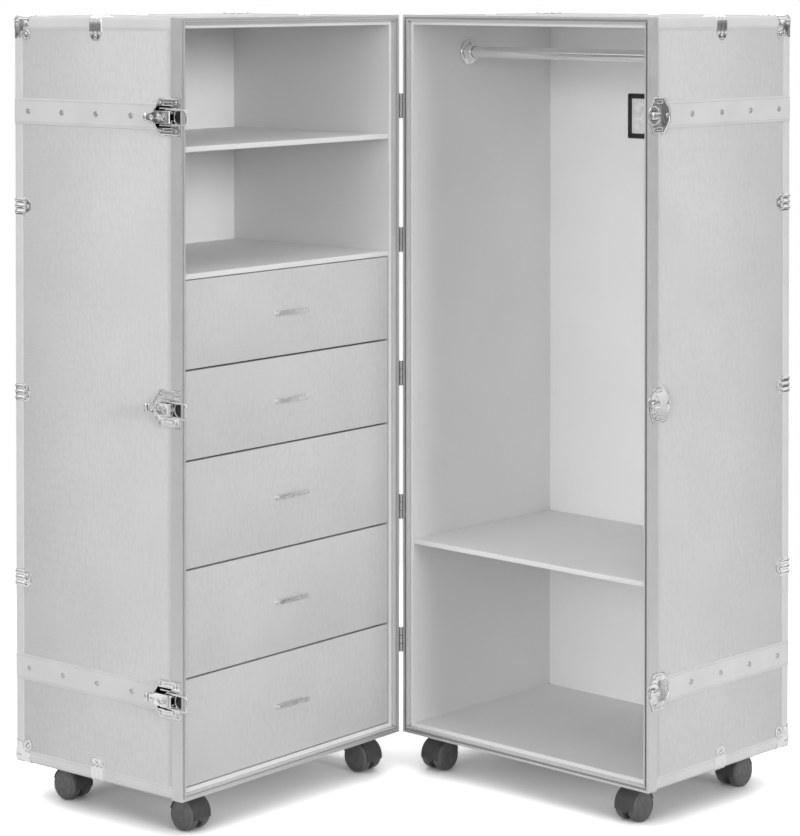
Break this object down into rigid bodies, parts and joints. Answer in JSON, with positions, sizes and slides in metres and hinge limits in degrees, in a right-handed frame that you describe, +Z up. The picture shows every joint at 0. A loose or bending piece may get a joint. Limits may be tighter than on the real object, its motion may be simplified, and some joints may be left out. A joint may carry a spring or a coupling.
{
  "type": "wardrobe trunk",
  "caption": "Upright wardrobe trunk in two hinged halves on casters: shelves and drawers in one, a hanging rod over a shelf in the other.",
  "frame": {"origin": "on the floor straight below the hinge pin", "axes": "+Z up along the hinge pin; the drawer half's open side faces +X and its width runs along -Y; the hanging half stands at 86 degrees to it, its width near +X"},
  "size_m": [0.9655, 0.9514, 1.3152],
  "materials": {
    "leather": "cream-white crocodile-embossed leather, semi-gloss",
    "plywood": "raw plywood",
    "lining": "off-white textured lining",
    "frame_metal": "satin anodised aluminium",
    "trim_leather": "smooth pale leather strip",
    "chrome": "polished chrome",
    "steel": "brushed steel",
    "drawer_front": "crocodile-embossed leather",
    "drawer_wood": "clear-finished birch board",
    "handle_metal": "satin nickel",
    "caster_plastic": "dark grey nylon",
    "caster_wheel": "dark grey wheel with a soft tread",
    "card_frame": "black enamel"
  },
  "bodies": {
    "drawer_half": {"left_leather": "leather", "left_shell": "plywood", "left_liner": "lining", "left_frame": "frame_metal", "left_trim": "trim_leather", "left_hardware": "chrome", "left_shelves": "lining", "drawer_runners": "drawer_wood", "hinge_leaves_left": "steel", "latch_plates": "chrome", "left_caster_plates": "steel"},
    "hanging_half": {"right_leather": "leather", "right_shell": "plywood", "right_liner": "lining", "right_frame": "frame_metal", "right_trim": "trim_leather", "right_hardware": "chrome", "right_shelf": "lining", "hanging_rod": "chrome", "card_holder": "card_frame", "hinge_leaves_right": "steel", "latch_catches": "chrome", "right_caster_plates": "steel"},
    "drawer_1": {"drawer_1_front": "drawer_front", "drawer_1_box": "drawer_wood", "drawer_1_handle": "handle_metal"},
    "drawer_2": {"drawer_2_front": "drawer_front", "drawer_2_box": "drawer_wood", "drawer_2_handle": "handle_metal"},
    "drawer_3": {"drawer_3_front": "drawer_front", "drawer_3_box": "drawer_wood", "drawer_3_handle": "handle_metal"},
    "drawer_4": {"drawer_4_front": "drawer_front", "drawer_4_box": "drawer_wood", "drawer_4_handle": "handle_metal"},
    "drawer_5": {"drawer_5_front": "drawer_front", "drawer_5_box": "drawer_wood", "drawer_5_handle": "handle_metal"},
    "latch_lever_1": {"latch_lever_1": "chrome"},
    "latch_loop_1": {"latch_loop_1": "chrome"},
    "latch_lever_2": {"latch_lever_2": "chrome"},
    "latch_loop_2": {"latch_loop_2": "chrome"},
    "latch_lever_3": {"latch_lever_3": "chrome"},
    "latch_loop_3": {"latch_loop_3": "chrome"},
    "caster_1_swivel": {"caster_1_housing": "caster_plastic"},
    "caster_1_wheel_pair": {"caster_1_wheels": "caster_wheel"},
    "caster_2_swivel": {"caster_2_housing": "caster_plastic"},
    "caster_2_wheel_pair": {"caster_2_wheels": "caster_wheel"},
    "caster_3_swivel": {"caster_3_housing": "caster_plastic"},
    "caster_3_wheel_pair": {"caster_3_wheels": "caster_wheel"},
    "caster_4_swivel": {"caster_4_housing": "caster_plastic"},
    "caster_4_wheel_pair": {"caster_4_wheels": "caster_wheel"},
    "caster_5_swivel": {"caster_5_housing": "caster_plastic"},
    "caster_5_wheel_pair": {"caster_5_wheels": "caster_wheel"},
    "caster_6_swivel": {"caster_6_housing": "caster_plastic"},
    "caster_6_wheel_pair": {"caster_6_wheels": "caster_wheel"},
    "caster_7_swivel": {"caster_7_housing": "caster_plastic"},
    "caster_7_wheel_pair": {"caster_7_wheels": "caster_wheel"},
    "caster_8_swivel": {"caster_8_housing": "caster_plastic"},
    "caster_8_wheel_pair": {"caster_8_wheels": "caster_wheel"}
  },
  "joints": [
    {"name": "trunk_opening", "type": "hinge", "parent": "drawer_half", "child": "hanging_half", "pos_m": [0, 0, 0.689], "axis": [0, 0, 1], "range_deg": [-86, 90]},
    {"name": "drawer_1_slide", "type": "slide", "parent": "drawer_half", "child": "drawer_1", "axis": [1, 0, 0], "range_m": [0, 0.26]},
    {"name": "drawer_2_slide", "type": "slide", "parent": "drawer_half", "child": "drawer_2", "axis": [1, 0, 0], "range_m": [0, 0.26]},
    {"name": "drawer_3_slide", "type": "slide", "parent": "drawer_half", "child": "drawer_3", "axis": [1, 0, 0], "range_m": [0, 0.26]},
    {"name": "drawer_4_slide", "type": "slide", "parent": "drawer_half", "child": "drawer_4", "axis": [1, 0, 0], "range_m": [0, 0.26]},
    {"name": "drawer_5_slide", "type": "slide", "parent": "drawer_half", "child": "drawer_5", "axis": [1, 0, 0], "range_m": [0, 0.26]},
    {"name": "latch_lever_1_turn", "type": "hinge", "parent": "drawer_half", "child": "latch_lever_1", "pos_m": [-0.0185, -0.5562, 1.156], "axis": [0, 0, 1], "range_deg": [-6, 70]},
    {"name": "latch_loop_1_turn", "type": "hinge", "parent": "latch_lever_1", "child": "latch_loop_1", "pos_m": [-0.02766, -0.55515, 1.156], "axis": [0, 0, 1], "range_deg": [-140, 12]},
    {"name": "latch_lever_2_turn", "type": "hinge", "parent": "drawer_half", "child": "latch_lever_2", "pos_m": [-0.0185, -0.5562, 0.6905], "axis": [0, 0, 1], "range_deg": [-6, 70]},
    {"name": "latch_loop_2_turn", "type": "hinge", "parent": "latch_lever_2", "child": "latch_loop_2", "pos_m": [-0.02766, -0.55515, 0.6905], "axis": [0, 0, 1], "range_deg": [-140, 12]},
    {"name": "latch_lever_3_turn", "type": "hinge", "parent": "drawer_half", "child": "latch_lever_3", "pos_m": [-0.0185, -0.5562, 0.225], "axis": [0, 0, 1], "range_deg": [-6, 70]},
    {"name": "latch_loop_3_turn", "type": "hinge", "parent": "latch_lever_3", "child": "latch_loop_3", "pos_m": [-0.02766, -0.55515, 0.225], "axis": [0, 0, 1], "range_deg": [-140, 12]},
    {"name": "caster_1_swivel_turn", "type": "hinge", "parent": "drawer_half", "child": "caster_1_swivel", "pos_m": [-0.0575, -0.0532, 0.0625], "axis": [0, 0, 1], "continuous": true},
    {"name": "caster_1_roll", "type": "hinge", "parent": "caster_1_swivel", "child": "caster_1_wheel_pair", "pos_m": [-0.0425, -0.0532, 0.026], "axis": [0, 1, 0], "continuous": true},
    {"name": "caster_2_swivel_turn", "type": "hinge", "parent": "drawer_half", "child": "caster_2_swivel", "pos_m": [-0.3295, -0.0532, 0.0625], "axis": [0, 0, 1], "continuous": true},
    {"name": "caster_2_roll", "type": "hinge", "parent": "caster_2_swivel", "child": "caster_2_wheel_pair", "pos_m": [-0.3145, -0.0532, 0.026], "axis": [0, 1, 0], "continuous": true},
    {"name": "caster_3_swivel_turn", "type": "hinge", "parent": "drawer_half", "child": "caster_3_swivel", "pos_m": [-0.0575, -0.4852, 0.0625], "axis": [0, 0, 1], "continuous": true},
    {"name": "caster_3_roll", "type": "hinge", "parent": "caster_3_swivel", "child": "caster_3_wheel_pair", "pos_m": [-0.0425, -0.4852, 0.026], "axis": [0, 1, 0], "continuous": true},
    {"name": "caster_4_swivel_turn", "type": "hinge", "parent": "drawer_half", "child": "caster_4_swivel", "pos_m": [-0.3295, -0.4852, 0.0625], "axis": [0, 0, 1], "continuous": true},
    {"name": "caster_4_roll", "type": "hinge", "parent": "caster_4_swivel", "child": "caster_4_wheel_pair", "pos_m": [-0.3145, -0.4852, 0.026], "axis": [0, 1, 0], "continuous": true},
    {"name": "caster_5_swivel_turn", "type": "hinge", "parent": "hanging_half", "child": "caster_5_swivel", "pos_m": [0.05708, 0.05365, 0.0625], "axis": [0, 0, 1], "continuous": true},
    {"name": "caster_5_roll", "type": "hinge", "parent": "caster_5_swivel", "child": "caster_5_wheel_pair", "pos_m": [0.05604, 0.03868, 0.026], "axis": [0.9976, -0.0698, 0], "continuous": true},
    {"name": "caster_6_swivel_turn", "type": "hinge", "parent": "hanging_half", "child": "caster_6_swivel", "pos_m": [0.07605, 0.32499, 0.0625], "axis": [0, 0, 1], "continuous": true},
    {"name": "caster_6_roll", "type": "hinge", "parent": "caster_6_swivel", "child": "caster_6_wheel_pair", "pos_m": [0.07501, 0.31002, 0.026], "axis": [0.9976, -0.0698, 0], "continuous": true},
    {"name": "caster_7_swivel_turn", "type": "hinge", "parent": "hanging_half", "child": "caster_7_swivel", "pos_m": [0.48803, 0.02351, 0.0625], "axis": [0, 0, 1], "continuous": true},
    {"name": "caster_7_roll", "type": "hinge", "parent": "caster_7_swivel", "child": "caster_7_wheel_pair", "pos_m": [0.48698, 0.00855, 0.026], "axis": [0.9976, -0.0698, 0], "continuous": true},
    {"name": "caster_8_swivel_turn", "type": "hinge", "parent": "hanging_half", "child": "caster_8_swivel", "pos_m": [0.507, 0.29485, 0.0625], "axis": [0, 0, 1], "continuous": true},
    {"name": "caster_8_roll", "type": "hinge", "parent": "caster_8_swivel", "child": "caster_8_wheel_pair", "pos_m": [0.50596, 0.27989, 0.026], "axis": [0.9976, -0.0698, 0], "continuous": true}
  ],
  "couplings": [
    {"joint": "latch_loop_1_turn", "follows": "latch_lever_1_turn", "ratio": -2},
    {"joint": "latch_loop_2_turn", "follows": "latch_lever_2_turn", "ratio": -2},
    {"joint": "latch_loop_3_turn", "follows": "latch_lever_3_turn", "ratio": -2}
  ]
}
